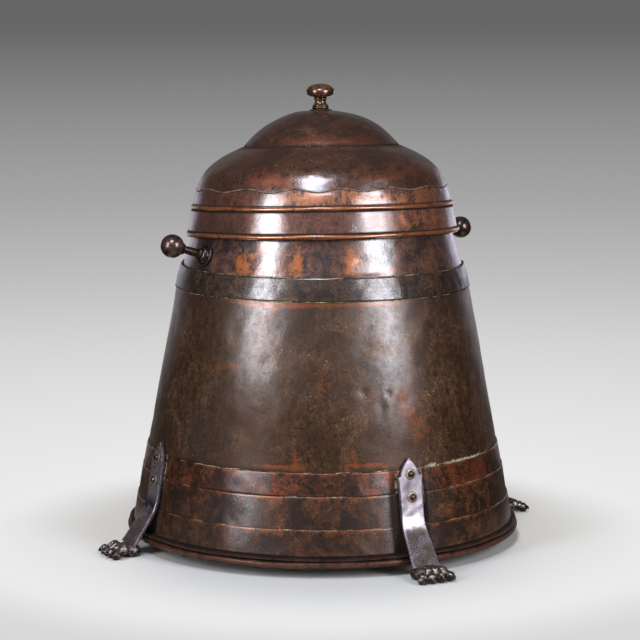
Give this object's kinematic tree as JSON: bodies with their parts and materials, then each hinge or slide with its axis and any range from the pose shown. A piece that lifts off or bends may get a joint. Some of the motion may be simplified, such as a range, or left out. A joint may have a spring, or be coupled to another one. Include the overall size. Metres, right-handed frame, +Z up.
{
  "type": "coal bin",
  "caption": "Round lidded copper coal bin with ball lug handles, soldered hoops and a lift-off domed lid, standing on strap legs with paw feet.",
  "frame": {"origin": "on the floor under the middle of the base", "axes": "+Z up, the two ball handles lie along X"},
  "size_m": [0.6016, 0.6016, 0.5699],
  "materials": {
    "copper_body": "planished copper, brown patina",
    "copper_neck": "rubbed copper",
    "copper_upper_hoop": "near-black patina",
    "copper_lower_hoop": "dark red-brown patina",
    "copper_foot": "brown patina",
    "copper_base": "brown patina, rubbed edges",
    "copper_skirt": "rubbed copper",
    "copper_bead": "rubbed copper",
    "copper_dome": "brown patina with specks",
    "brass_braze": "pale braze",
    "bronze_knob": "polished bronze",
    "bronze_handle": "dark bronze",
    "bronze_rivets": "dark bronze",
    "brass_roves": "dull brass",
    "iron_strap": "burnished iron",
    "iron_paw": "cast iron, brown",
    "iron_wire": "iron wire"
  },
  "bodies": {
    "bin": {"body_wall": "copper_body", "neck": "copper_neck", "mouth_wire": "iron_wire", "upper_band": "copper_upper_hoop", "lower_band": "copper_lower_hoop", "foot_strip_upper_1": "copper_foot", "foot_strip_upper_2": "copper_foot", "foot_strip_upper_3": "copper_foot", "foot_strip_upper_4": "copper_foot", "foot_strip_lower_1": "copper_foot", "foot_strip_lower_2": "copper_foot", "foot_strip_lower_3": "copper_foot", "foot_strip_lower_4": "copper_foot", "foot_flange": "copper_base", "base_plate": "copper_base", "base_rim_wire": "iron_wire", "leg_strap_1": "iron_strap", "leg_strap_2": "iron_strap", "leg_strap_3": "iron_strap", "leg_strap_4": "iron_strap", "paw_1": "iron_paw", "paw_2": "iron_paw", "paw_3": "iron_paw", "paw_4": "iron_paw", "leg_rivets": "bronze_rivets", "leg_rivet_roves": "brass_roves", "handle_right": "bronze_handle", "handle_left": "bronze_handle", "handle_rose_right": "bronze_handle", "handle_rose_left": "bronze_handle", "handle_roves": "brass_roves"},
    "lid": {"lid_skirt": "copper_skirt", "lid_bead_lower": "copper_bead", "lid_bead_upper": "copper_bead", "lid_collar": "copper_dome", "lid_dome": "copper_dome", "lid_seam_braze": "brass_braze", "lid_cap": "copper_dome", "lid_knob": "bronze_knob", "lid_knob_washer": "brass_roves", "lid_knob_nut": "iron_wire"}
  },
  "joints": [
    {"name": "lid_lift", "type": "slide", "parent": "bin", "child": "lid", "axis": [0, 0, 1], "range_m": [0, 0.16]}
  ]
}
